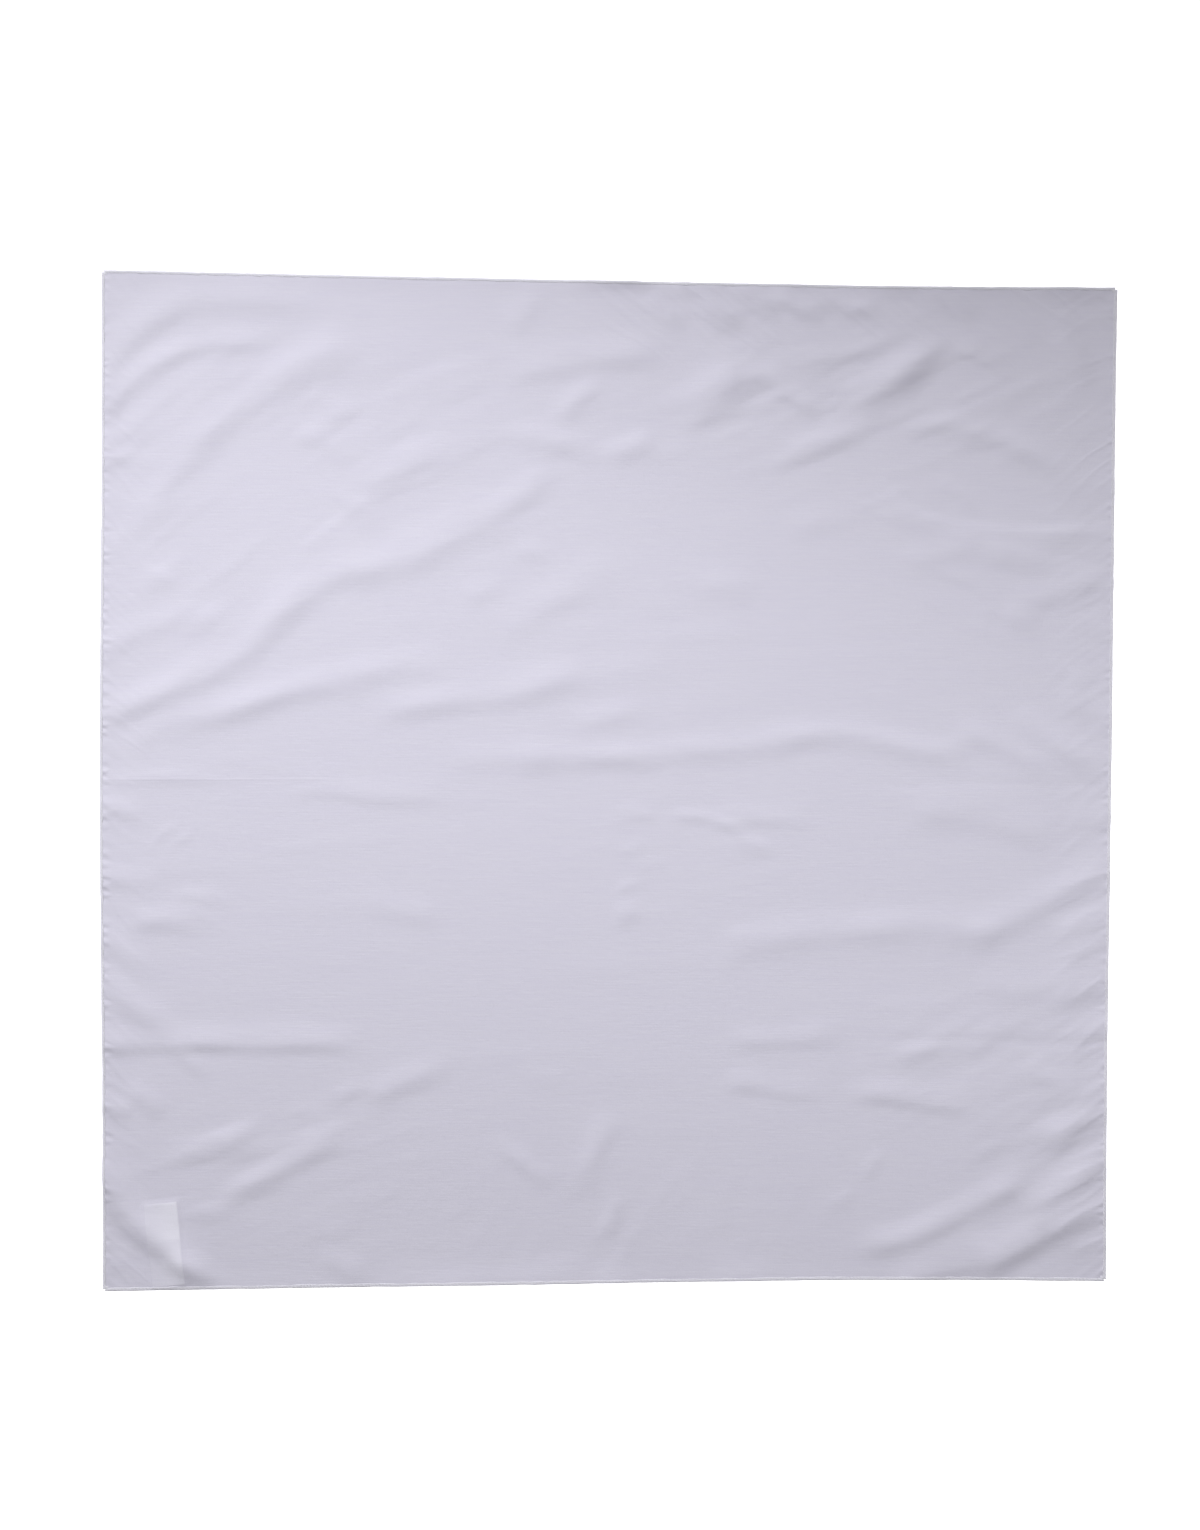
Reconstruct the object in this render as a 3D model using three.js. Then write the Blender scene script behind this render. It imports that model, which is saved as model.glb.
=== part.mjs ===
// A square stole of thin cotton, laid out flat: one hemmed sheet with its wrinkles, and the label under it.
// Millimetres, +Z up. The sheet lies on z = 0 with the origin under its middle and +Y towards its top side.
import * as THREE from "three";

// Driving dimensions
const clothThickness = 1.0;
const hemWidth = 3.2;
const hemThickness = 1.9;
const hemRounding = 0.7;
const hemStep = 0.4;
const settling = 0.3;

// Folds: how far their bells reach, how their ends fade and spread, and how far up their points are moved
const bellReach = 3.5;
const endFade = 45;
const longestFade = 0.4;
const endSpread = 0.45;
const foldsUp = 1.35;

// The four corners, and how far each side leaves the straight line between them
const corners = {
  bottomLeft: new THREE.Vector2(-453.0, -457.6),
  bottomRight: new THREE.Vector2(445.6, -448.5),
  topLeft: new THREE.Vector2(-454.2, 457.6),
  topRight: new THREE.Vector2(455.9, 441.4),
};
const sideShapes = {
  left: { bow: -1.7, lean: 0, wave: 0.7 },
  right: { bow: -0.8, lean: -0.35, wave: -0.4 },
  bottom: { bow: 3.1, lean: -0.9, wave: 0.4 },
  top: { bow: -2.1, lean: 0.6, wave: -0.3 },
};
const sideLength = 905;

// The label is a straight strip, turned a little, with the cloth raised over it
const label = { width: 29, length: 74, thickness: 1.0, x: -397.3, y: -415.5, turn: 6 };
const labelRise = 1.5;
const labelShoulder = 9;
const labelMargin = 1.5;

// The mesh of the sheet: cells along a side, and how far a triangle may stray from the cloth
const gridCells = 128;
const strayLimit = 0.35;
const pathSteps = 12;

// Folds: each runs from one point through its middle to its end, is wide on its left and right as it is
// walked, and stands high. A negative height is a trough.
const foldColumns = ["fromX", "fromY", "midX", "midY", "toX", "toY", "left", "right", "high"];

const topLeftFolds = [
  [-456, 320, -402, 413, -236, 424, 12, 8, 1.8],
  [-452, 308, -400, 375, -276, 393, 8, 6, 1.5],
  [-418, 212, -352, 317, -212, 392, 14, 11, 1.4],
  [-318, 354, -275, 377, -214, 393, 8, 7, 0.8],
  [-232, 258, -185, 277, -140, 308, 10, 8, 1.5],
  [-268, 258, -228, 247, -192, 218, 7, 6, 0.8],
  [-466, 298, -436, 308, -396, 330, 9, 7, 1.1],
];

const diagonalFolds = [
  [-474, 46, -412, 71, -350, 97, 11, 8, 2.1],
  [-392, 78, -334, 108, -284, 156, 11, 8, 2.0],
  [-312, 126, -266, 171, -203, 202, 15, 10, 2.2],
  [-250, 186, -168, 202, -84, 248, 15, 10, 2.1],
  [-122, 221, -80, 253, -32, 284, 12, 9, 1.4],
  [-462, 100, -405, 137, -310, 146, 10, 9, 1.2],
  [-406, 47, -315, 70, -222, 98, 9, 8, 2.1],
  [-436, 18, -408, 42, -372, 58, 8, 8, 0.7],
  [-256, 90, -195, 99, -126, 105, 10, 9, 1.7],
  [-226, 61, -115, 72, -3, 99, 9, 8, 1.7],
  [-44, 44, 0, 55, 52, 71, 8, 8, 1.1],
  [-110, 122, -50, 158, 22, 196, 12, 9, 1.3],
];

const topFolds = [
  [-96, 398, -76, 420, -52, 446, 9, 8, 1.0],
  [-104, 357, -22, 374, 66, 382, 11, 8, 1.4],
  [-100, 298, -56, 303, 4, 284, 9, 7, 1.8],
  [-50, 312, -28, 336, 6, 362, 7, 6, 1.1],
  [-44, 450, 4, 449, 60, 447, 8, 6, 2.0],
  [54, 314, 100, 346, 136, 388, 15, 10, 2.4],
  [116, 362, 140, 360, 162, 344, 6, 5, 1.2],
  [40, 457, 280, 451, 520, 445, 8, 10, 1.8],
  [140, 347, 166, 340, 190, 318, 7, 4, 1.7],
  [34, 436, 50, 420, 74, 406, 6, 6, 1.3],
  [58, 450, 74, 437, 98, 425, 6, 6, 1.4],
  [80, 434, 98, 416, 124, 403, 7, 6, 1.5],
  [112, 448, 132, 431, 160, 418, 7, 7, 1.7],
  [144, 442, 168, 424, 200, 411, 6, 5, 1.5],
  [176, 442, 208, 425, 250, 413, 6, 6, 1.7],
  [290, 448, 306, 430, 334, 408, 7, 7, 1.6],
];

const topRightFolds = [
  [130, 282, 184, 300, 248, 316, 9, 8, 1.7],
  [210, 328, 259, 359, 312, 408, 10, 8, 2.6],
  [158, 371, 206, 379, 258, 381, 6, 5, 0.8],
  [300, 388, 334, 376, 368, 356, 12, 4, 1.0],
  [298, 296, 356, 303, 436, 248, 8, 8, 1.9],
  [262, 302, 290, 317, 330, 315, 8, 5, 0.9],
  [386, 402, 415, 382, 438, 332, 8, 10, 1.2],
  [250, 197, 295, 203, 338, 214, 8, 7, 1.2],
  [332, 210, 365, 197, 404, 192, 9, 8, 1.2],
  [358, 150, 402, 168, 470, 184, 9, 8, 1.5],
  [404, 150, 432, 137, 470, 122, 8, 7, 0.9],
  [388, 112, 412, 94, 438, 80, 6, 6, 0.6],
];

const middleFolds = [
  [-150, 16, -95, 18, -28, 20, 10, 8, 0.8],
  [-92, 20, 30, 22, 176, 38, 8, 8, 1.7],
  [130, 33, 236, 36, 332, 10, 8, 8, 1.9],
  [300, 46, 352, 30, 410, -3, 8, 7, 1.6],
  [354, 61, 400, 33, 462, -10, 9, 8, 1.9],
  [398, 82, 430, 62, 470, 42, 8, 8, 1.4],
  [-300, -10, -220, -15, -130, -19, 10, 5, 0.9],
  [38, -31, 90, -37, 124, -55, 4, 3, 1.3],
  [104, -43, 130, -57, 164, -68, 3, 9, 0.8],
  [94, -37, 140, -35, 198, -38, 9, 5, 1.0],
  [254, -25, 330, -36, 416, -58, 15, 9, 1.4],
  [408, -38, 432, -36, 470, -34, 9, 7, 1.0],
  [-470, -25, -438, -26, -410, -36, 6, 6, 1.2],
  [-470, -89, -430, -91, -392, -99, 8, 6, 1.3],
  [-440, -131, -398, -128, -342, -135, 9, 7, 1.3],
  [-230, -114, -185, -119, -135, -128, 9, 8, 1.0],
];

const lowerRightFolds = [
  [92, -151, 200, -137, 340, -131, 11, 9, 1.9],
  [286, -138, 320, -136, 358, -122, 11, 8, 0.8],
  [312, -153, 380, -113, 474, -68, 10, 9, 2.3],
  [392, -146, 425, -131, 470, -110, 8, 7, 1.9],
  [400, -161, 430, -148, 470, -124, 8, 7, 1.6],
  [322, -181, 385, -182, 474, -140, 12, 9, 1.3],
  [384, -202, 422, -191, 470, -166, 9, 7, 2.2],
  [404, -240, 430, -227, 470, -216, 8, 6, 1.2],
  [92, -238, 150, -232, 226, -231, 9, 6, 1.2],
  [98, -267, 140, -276, 214, -280, 10, 6, 1.3],
  [206, -282, 270, -287, 340, -295, 10, 5, 1.5],
  [386, -336, 418, -311, 470, -284, 9, 8, 2.0],
  [368, -392, 410, -363, 474, -318, 9, 8, 2.9],
  [214, -419, 302, -399, 392, -340, 9, 7, 2.2],
  [238, -448, 296, -439, 366, -423, 18, 8, 2.4],
  [322, -441, 378, -413, 456, -364, 14, 8, 3.2],
  [388, -412, 420, -398, 470, -376, 8, 8, 1.6],
  [404, -424, 430, -417, 470, -406, 7, 7, 1.2],
];

const lowerLeftFolds = [
  [-468, -132, -440, -152, -406, -192, 8, 6, 1.8],
  [-454, -156, -424, -203, -376, -230, 9, 8, 2.5],
  [-224, -294, -186, -272, -132, -254, 9, 8, 1.9],
  [-400, -338, -350, -334, -292, -314, 9, 7, 1.2],
  [-358, -374, -296, -352, -224, -308, 9, 8, 1.6],
  [-392, -380, -354, -388, -318, -374, 8, 7, 1.0],
  [-436, -268, -414, -287, -396, -308, 8, 6, 1.3],
  [-466, -286, -444, -294, -422, -304, 6, 5, 1.5],
  [-482, -296, -425, -394, -350, -452, 10, 8, 4.2],
  [-398, -424, -370, -442, -330, -454, 7, 7, 1.5],
  [-446, -420, -430, -440, -410, -462, 8, 8, 0.8],
  [-262, -422, -240, -434, -206, -451, 9, 8, 1.4],
  [-220, -462, -80, -453, 34, -458, 15, 8, 1.7],
  [2, -288, -13, -337, -38, -388, 8, 8, 1.2],
  [-112, -318, -78, -344, -46, -372, 7, 5, 0.9],
  [80, -448, 118, -446, 160, -450, 12, 8, 1.1],
];

// Creases of the old folding: ridges on the left half, troughs on the right half
const oldCreases = [
  [-470, -1, -390, -1, -300, -2, 5, 2.5, 0.7],
  [-480, -238, -350, -237.5, -212, -236.5, 10, 5, 1.8],
  [244, 262, 276, 238, 326, 226, 4, 12, 0.8],
  [296, 225, 385, 221, 480, 222, 4, 20, 1.2],
  [210, -5, 345, -5, 480, -6, 3, 3, -0.3],
  [216, -232, 345, -234, 480, -237, 3, 4, -0.4],
];

// Slow swells where the cloth stands a little off the surface
const swells = [
  [330, 262, 405, 258, 480, 256, 20, 20, 0.6],
  [230, -6, 345, -6, 480, -8, 22, 22, 0.5],
  [230, -232, 345, -234, 480, -236, 22, 20, 0.6],
  [-300, 400, -200, 340, -150, 250, 40, 40, 1.0],
  [-440, 330, -380, 325, -320, 300, 36, 36, 1.0],
  [60, 410, 180, 395, 300, 360, 36, 36, 1.0],
  [-120, 60, 20, 115, 140, 160, 40, 40, 0.6],
  [300, -330, 380, -300, 460, -250, 36, 36, 0.9],
];

const foldTables = [
  topLeftFolds, diagonalFolds, topFolds, topRightFolds, middleFolds,
  lowerRightFolds, lowerLeftFolds, oldCreases, swells,
];

// Name a row's columns, and lay its path as a run of short straight steps
function foldFromRow(row) {
  const fold = Object.fromEntries(foldColumns.map((column, place) => [column, row[place]]));
  const start = new THREE.Vector2(fold.fromX, fold.fromY + foldsUp);
  const end = new THREE.Vector2(fold.toX, fold.toY + foldsUp);
  const pull = new THREE.Vector2(fold.midX, fold.midY + foldsUp).multiplyScalar(2);
  pull.addScaledVector(start, -0.5).addScaledVector(end, -0.5);
  const curve = new THREE.QuadraticBezierCurve(start, pull, end);
  fold.path = curve.getPoints(pathSteps);
  fold.fade = Math.min(longestFade, endFade / curve.getLength());
  fold.reach = bellReach * Math.max(fold.left, fold.right);
  fold.box = new THREE.Box2().setFromPoints(fold.path).expandByScalar(fold.reach);
  return fold;
}

const folds = foldTables.flat().map(foldFromRow);

// Where a point lies beside a fold: how far along, how far off, and on which side
function beside(fold, point) {
  const nearest = { off: Infinity };
  for (let step = 0; step < pathSteps; step += 1) {
    const from = fold.path[step];
    const run = fold.path[step + 1].clone().sub(from);
    const away = point.clone().sub(from);
    const share = THREE.MathUtils.clamp(away.dot(run) / run.lengthSq(), 0, 1);
    const off = away.clone().addScaledVector(run, -share).length();
    if (off < nearest.off) {
      nearest.off = off;
      nearest.along = (step + share) / pathSteps;
      nearest.side = run.cross(away) > 0 ? "left" : "right";
    }
  }
  return nearest;
}

// A fold is a soft bell across its path. Over its two ends it fades out and spreads.
function foldHeight(fold, point) {
  if (!fold.box.containsPoint(point)) return 0;
  const { along, off, side } = beside(fold, point);
  const fade = THREE.MathUtils.smoothstep(Math.min(along, 1 - along), 0, fold.fade);
  const share = off / (fold[side] * (1 + endSpread * (1 - fade)));
  return fold.high * fade * Math.exp(-0.5 * share * share);
}

// The cloth can't go below the surface that it lies on, so low sums flatten out to nothing
function settled(height) {
  if (height <= 0) return 0;
  return height < 2 * settling ? (height * height) / (4 * settling) : height - settling;
}

// How high the label holds the cloth up at a point
function liftOverLabel(point) {
  const turn = THREE.MathUtils.degToRad(label.turn);
  const local = point.clone().rotateAround(new THREE.Vector2(label.x, label.y), -turn);
  const outX = Math.max(Math.abs(local.x - label.x) - label.width / 2 - labelMargin, 0);
  const outY = Math.max(Math.abs(local.y - label.y) - label.length / 2 - labelMargin, 0);
  const share = Math.hypot(outX, outY) / labelShoulder;
  return labelRise * (1 - THREE.MathUtils.smoothstep(share, 0, 1));
}

// Height of the cloth's underside
function underside(point) {
  const sum = folds.reduce((total, fold) => total + foldHeight(fold, point), 0);
  return Math.hypot(settled(sum) ** 2, liftOverLabel(point) ** 2) ** 0.5;
}

function sideShift(shape, share) {
  const turn = Math.PI * share;
  return shape.bow * Math.sin(turn) + shape.lean * Math.sin(2 * turn) + shape.wave * Math.sin(3 * turn);
}

// Plan position of a point of the sheet, across and up from 0 to 1, with the outline drawn in by an inset
function planPoint(across, up, inset) {
  const margin = inset / sideLength;
  const x = THREE.MathUtils.lerp(margin, 1 - margin, across);
  const y = THREE.MathUtils.lerp(margin, 1 - margin, up);
  const low = corners.bottomLeft.clone().lerp(corners.bottomRight, x);
  const point = low.lerp(corners.topLeft.clone().lerp(corners.topRight, x), y);
  point.x += (1 - x) * sideShift(sideShapes.left, y) + x * sideShift(sideShapes.right, y);
  point.y += (1 - y) * sideShift(sideShapes.bottom, x) + y * sideShift(sideShapes.top, x);
  return point;
}

function sheetPoint(across, up, inset, above) {
  const plan = planPoint(across, up, inset);
  return new THREE.Vector3(plan.x, plan.y, underside(plan) + above);
}

// Right-angled triangles over the grid, halved until none strays from the cloth by more than the limit
function coverGrid() {
  const width = gridCells + 1;
  const points = [];
  for (let row = 0; row < width; row += 1) {
    for (let column = 0; column < width; column += 1) {
      points.push(sheetPoint(column / gridCells, row / gridCells, hemWidth, 0));
    }
  }
  const strays = measureStrays(points, width);
  const triangles = [];
  const halve = (a, b, c) => {
    const middle = [(a[0] + b[0]) / 2, (a[1] + b[1]) / 2];
    const smallest = Math.abs(a[0] - c[0]) + Math.abs(a[1] - c[1]) < 2;
    if (!smallest && strays[middle[1] * width + middle[0]] > strayLimit) {
      halve(c, a, middle);
      halve(b, c, middle);
    } else {
      triangles.push([a, b, c]);
    }
  };
  halve([0, 0], [gridCells, gridCells], [gridCells, 0]);
  halve([gridCells, gridCells], [0, 0], [0, gridCells]);
  return triangles;
}

// How far the cloth strays at the middle of each triangle's long side, with all that is inside it
function measureStrays(points, width) {
  const strays = new Float64Array(points.length);
  const at = (column, row) => row * width + column;
  const inGrid = (column, row) => column >= 0 && row >= 0 && column < width && row < width;
  const measure = (column, row, stepX, stepY, inner) => {
    const middle = points[at(column - stepX, row - stepY)].clone();
    middle.lerp(points[at(column + stepX, row + stepY)], 0.5);
    const own = middle.distanceTo(points[at(column, row)]);
    const within = inner.filter(([x, y]) => inGrid(x, y)).map(([x, y]) => strays[at(x, y)]);
    strays[at(column, row)] = Math.max(own, ...within);
  };
  for (let half = 1; half < gridCells; half *= 2) {
    const step = 2 * half;
    const quarter = half / 2;
    for (let row = 0; row < width; row += half) {
      for (let column = 0; column < width; column += half) {
        const onColumn = (column / half) % 2 === 0;
        const onRow = (row / half) % 2 === 0;
        if (onColumn === onRow) continue;
        const inner = half < 2 ? [] : [-quarter, quarter].flatMap((dx) => (
          [-quarter, quarter].map((dy) => [column + dx, row + dy])));
        measure(column, row, onRow ? half : 0, onRow ? 0 : half, inner);
      }
    }
    for (let row = half; row < width; row += step) {
      for (let column = half; column < width; column += step) {
        const rising = ((column - half) / step + (row - half) / step) % 2 === 0;
        const sideways = [[column - half, row], [column + half, row]];
        const inner = [...sideways, [column, row - half], [column, row + half]];
        measure(column, row, half, rising ? half : -half, inner);
      }
    }
  }
  return strays;
}

// The used grid points on the sheet's rim, counterclockwise from the bottom left
function rimOf(triangles) {
  const last = gridCells;
  const around = ([column, row]) => {
    if (row === 0 && column < last) return column;
    if (column === last && row < last) return last + row;
    if (row === last && column > 0) return 3 * last - column;
    return 4 * last - row;
  };
  const onRim = ([column, row]) => column === 0 || row === 0 || column === last || row === last;
  const found = new Map();
  for (const corner of triangles.flat()) {
    if (onRim(corner)) found.set(around(corner), corner);
  }
  return [...found.keys()].sort((a, b) => a - b).map((key) => found.get(key));
}

// The hem's section from the cloth's top out to its edge and back under
const hemSections = [
  { inset: hemWidth - hemStep, above: hemThickness },
  { inset: hemRounding, above: hemThickness },
  { inset: 0, above: hemThickness / 2 },
  { inset: hemRounding, above: 0 },
];

function clothGeometry() {
  const triangles = coverGrid();
  const positions = [];
  const indices = [];
  const places = new Map();
  const vertex = (key, make) => {
    if (!places.has(key)) {
      places.set(key, positions.length / 3);
      positions.push(...make().toArray());
    }
    return places.get(key);
  };
  const faceVertex = ([column, row], above) => vertex(`${column} ${row} ${above}`, () => (
    sheetPoint(column / gridCells, row / gridCells, hemWidth, above)));
  for (const [a, b, c] of triangles) {
    indices.push(faceVertex(a, clothThickness), faceVertex(c, clothThickness), faceVertex(b, clothThickness));
    indices.push(faceVertex(a, 0), faceVertex(b, 0), faceVertex(c, 0));
  }
  const rings = rimOf(triangles).map((corner) => {
    const [across, up] = corner.map((place) => place / gridCells);
    const hem = hemSections.map(({ inset, above }, section) => vertex(`${corner} hem ${section}`, () => (
      sheetPoint(across, up, inset, above))));
    return [faceVertex(corner, clothThickness), ...hem, faceVertex(corner, 0)];
  });
  rings.forEach((ring, place) => {
    const next = rings[(place + 1) % rings.length];
    for (let section = 0; section < ring.length - 1; section += 1) {
      indices.push(ring[section], ring[section + 1], next[section + 1]);
      indices.push(ring[section], next[section + 1], next[section]);
    }
  });
  const geometry = new THREE.BufferGeometry();
  geometry.setAttribute("position", new THREE.Float32BufferAttribute(positions, 3));
  geometry.setIndex(indices);
  geometry.computeVertexNormals();
  return geometry;
}

function makeCloth() {
  const material = new THREE.MeshStandardMaterial({ color: 0xdcd9e6, roughness: 0.9, metalness: 0 });
  const mesh = new THREE.Mesh(clothGeometry(), material);
  mesh.name = "stole_cloth";
  return mesh;
}

function makeLabel() {
  const material = new THREE.MeshStandardMaterial({ color: 0xf3f2f5, roughness: 0.6, metalness: 0 });
  const mesh = new THREE.Mesh(new THREE.BoxGeometry(label.width, label.length, label.thickness), material);
  mesh.position.set(label.x, label.y, label.thickness / 2);
  mesh.rotation.z = THREE.MathUtils.degToRad(label.turn);
  mesh.name = "care_label";
  return mesh;
}

const stole = new THREE.Group();
stole.add(makeCloth(), makeLabel());

export default stole;
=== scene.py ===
# A square stole of thin pale cotton, laid out flat on a white table and seen from straight above.
# The tables are in millimetres and Blender is in metres. +Y is the side at the top of the picture.
import math

import bpy
import numpy as np
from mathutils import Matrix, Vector


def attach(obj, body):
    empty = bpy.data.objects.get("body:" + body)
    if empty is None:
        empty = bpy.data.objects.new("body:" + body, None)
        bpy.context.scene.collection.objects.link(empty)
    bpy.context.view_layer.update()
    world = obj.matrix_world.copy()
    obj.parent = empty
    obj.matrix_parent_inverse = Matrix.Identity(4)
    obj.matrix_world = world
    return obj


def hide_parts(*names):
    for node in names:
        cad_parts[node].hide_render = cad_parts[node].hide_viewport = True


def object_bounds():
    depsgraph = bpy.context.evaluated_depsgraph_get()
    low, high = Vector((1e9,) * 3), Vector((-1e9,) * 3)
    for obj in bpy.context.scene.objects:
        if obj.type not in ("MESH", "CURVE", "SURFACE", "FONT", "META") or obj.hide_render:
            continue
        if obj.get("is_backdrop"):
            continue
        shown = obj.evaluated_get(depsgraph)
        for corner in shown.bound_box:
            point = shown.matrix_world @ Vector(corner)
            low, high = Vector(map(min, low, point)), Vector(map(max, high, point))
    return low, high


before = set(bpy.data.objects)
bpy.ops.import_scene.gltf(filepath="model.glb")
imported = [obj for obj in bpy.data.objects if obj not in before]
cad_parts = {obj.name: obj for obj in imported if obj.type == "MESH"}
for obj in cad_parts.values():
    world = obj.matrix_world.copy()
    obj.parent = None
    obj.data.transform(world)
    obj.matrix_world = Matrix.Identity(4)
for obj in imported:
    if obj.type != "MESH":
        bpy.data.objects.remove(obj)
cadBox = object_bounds()
mm = 0.001

outline = {
    "bottomLeft": (-453.0, -457.6),
    "bottomRight": (445.6, -448.5),
    "topLeft": (-454.2, 457.6),
    "topRight": (455.9, 441.4),
    "leftBow": (-1.7, 0.0, 0.7),  # how far a side bows, and its two quicker waves
    "rightBow": (-0.8, -0.35, -0.4),
    "bottomBow": (3.1, -0.9, 0.4),
    "topBow": (-2.1, 0.6, -0.3),
    "side": 905.0,
}

cloth = {
    "rows": 314,
    "columns": 314,
    "crowding": 0.25,
    "rest": 0.3,  # how high the thin cloth lies over the table
    "edgeRest": 0.65,  # and where it runs into the rolled hem
    "edgeBand": 16.0,
    "tuck": 2.5,  # how far inside the outline the sheet itself ends
    "rumple": 0.8,  # how much higher folds stand at the top right corner, and where that sets in
    "rumpleAcross": (-200, 270),
    "rumpleUp": (40, 490),
    "slack": 0.28,  # height that is added before low places settle on the table
    "settling": 0.3,
}

# How a fold runs: its ends fade out over a length, but over no more than a share of it, and spread as they do
foldForm = {
    "up": 1.35,  # how far up the points of the tables are moved
    "endFade": 45.0,
    "longestFade": 0.4,
    "endSpread": 0.45,
    "reach": 3.6,  # in widths
    "steps": 12,
    # waves in the plan: height and length, a waver and its length, then a slanting wave and its two lengths
    "wanderX": (0.9, 17, 0.6, 41, 0.7, 23, 31),
    "wanderY": (0.9, 19, 0.8, 37, 0.7, -27, 33),
    "uneven": (0.16, 13, 1.7, 29, 0.12, 11, -21),
}

# Folds: from, middle and to points, then the widths on the left and right as it is walked, then the height
topLeftFolds = [
    (-456, 320, -402, 413, -236, 424, 12, 8, 1.8),
    (-452, 308, -400, 375, -276, 393, 8, 6, 1.5),
    (-418, 212, -352, 317, -212, 392, 14, 11, 1.4),
    (-318, 354, -275, 377, -214, 393, 8, 7, 0.8),
    (-232, 258, -185, 277, -140, 308, 10, 8, 1.5),
    (-268, 258, -228, 247, -192, 218, 7, 6, 0.8),
    (-466, 298, -436, 308, -396, 330, 9, 7, 1.1),
]

diagonalFolds = [
    (-474, 46, -412, 71, -350, 97, 11, 8, 2.1),
    (-392, 78, -334, 108, -284, 156, 11, 8, 2.0),
    (-312, 126, -266, 171, -203, 202, 15, 10, 2.2),
    (-250, 186, -168, 202, -84, 248, 15, 10, 2.1),
    (-122, 221, -80, 253, -32, 284, 12, 9, 1.4),
    (-462, 100, -405, 137, -310, 146, 10, 9, 1.2),
    (-406, 47, -315, 70, -222, 98, 9, 8, 2.1),
    (-436, 18, -408, 42, -372, 58, 8, 8, 0.7),
    (-256, 90, -195, 99, -126, 105, 10, 9, 1.7),
    (-226, 61, -115, 72, -3, 99, 9, 8, 1.7),
    (-44, 44, 0, 55, 52, 71, 8, 8, 1.1),
    (-110, 122, -50, 158, 22, 196, 12, 9, 1.3),
]

topFolds = [
    (-96, 398, -76, 420, -52, 446, 9, 8, 1.0),
    (-104, 357, -22, 374, 66, 382, 11, 8, 1.4),
    (-100, 298, -56, 303, 4, 284, 9, 7, 1.8),
    (-50, 312, -28, 336, 6, 362, 7, 6, 1.1),
    (-44, 450, 4, 449, 60, 447, 8, 6, 2.0),
    (54, 314, 100, 346, 136, 388, 15, 10, 2.4),
    (116, 362, 140, 360, 162, 344, 6, 5, 1.2),
    (40, 457, 280, 451, 520, 445, 8, 10, 1.8),
    (140, 347, 166, 340, 190, 318, 7, 4, 1.7),
    (34, 436, 50, 420, 74, 406, 6, 6, 1.3),
    (58, 450, 74, 437, 98, 425, 6, 6, 1.4),
    (80, 434, 98, 416, 124, 403, 7, 6, 1.5),
    (112, 448, 132, 431, 160, 418, 7, 7, 1.7),
    (144, 442, 168, 424, 200, 411, 6, 5, 1.5),
    (176, 442, 208, 425, 250, 413, 6, 6, 1.7),
    (290, 448, 306, 430, 334, 408, 7, 7, 1.6),
]

topRightFolds = [
    (130, 282, 184, 300, 248, 316, 9, 8, 1.7),
    (210, 328, 259, 359, 312, 408, 10, 8, 2.6),
    (158, 371, 206, 379, 258, 381, 6, 5, 0.8),
    (300, 388, 334, 376, 368, 356, 12, 4, 1.0),
    (298, 296, 356, 303, 436, 248, 8, 8, 1.9),
    (262, 302, 290, 317, 330, 315, 8, 5, 0.9),
    (386, 402, 415, 382, 438, 332, 8, 10, 1.2),
    (250, 197, 295, 203, 338, 214, 8, 7, 1.2),
    (332, 210, 365, 197, 404, 192, 9, 8, 1.2),
    (358, 150, 402, 168, 470, 184, 9, 8, 1.5),
    (404, 150, 432, 137, 470, 122, 8, 7, 0.9),
    (388, 112, 412, 94, 438, 80, 6, 6, 0.6),
]

middleFolds = [
    (-150, 16, -95, 18, -28, 20, 10, 8, 0.8),
    (-92, 20, 30, 22, 176, 38, 8, 8, 1.7),
    (130, 33, 236, 36, 332, 10, 8, 8, 1.9),
    (300, 46, 352, 30, 410, -3, 8, 7, 1.6),
    (354, 61, 400, 33, 462, -10, 9, 8, 1.9),
    (398, 82, 430, 62, 470, 42, 8, 8, 1.4),
    (-300, -10, -220, -15, -130, -19, 10, 5, 0.9),
    (38, -31, 90, -37, 124, -55, 4, 3, 1.3),
    (104, -43, 130, -57, 164, -68, 3, 9, 0.8),
    (94, -37, 140, -35, 198, -38, 9, 5, 1.0),
    (254, -25, 330, -36, 416, -58, 15, 9, 1.4),
    (408, -38, 432, -36, 470, -34, 9, 7, 1.0),
    (-470, -25, -438, -26, -410, -36, 6, 6, 1.2),
    (-470, -89, -430, -91, -392, -99, 8, 6, 1.3),
    (-440, -131, -398, -128, -342, -135, 9, 7, 1.3),
    (-230, -114, -185, -119, -135, -128, 9, 8, 1.0),
]

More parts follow.
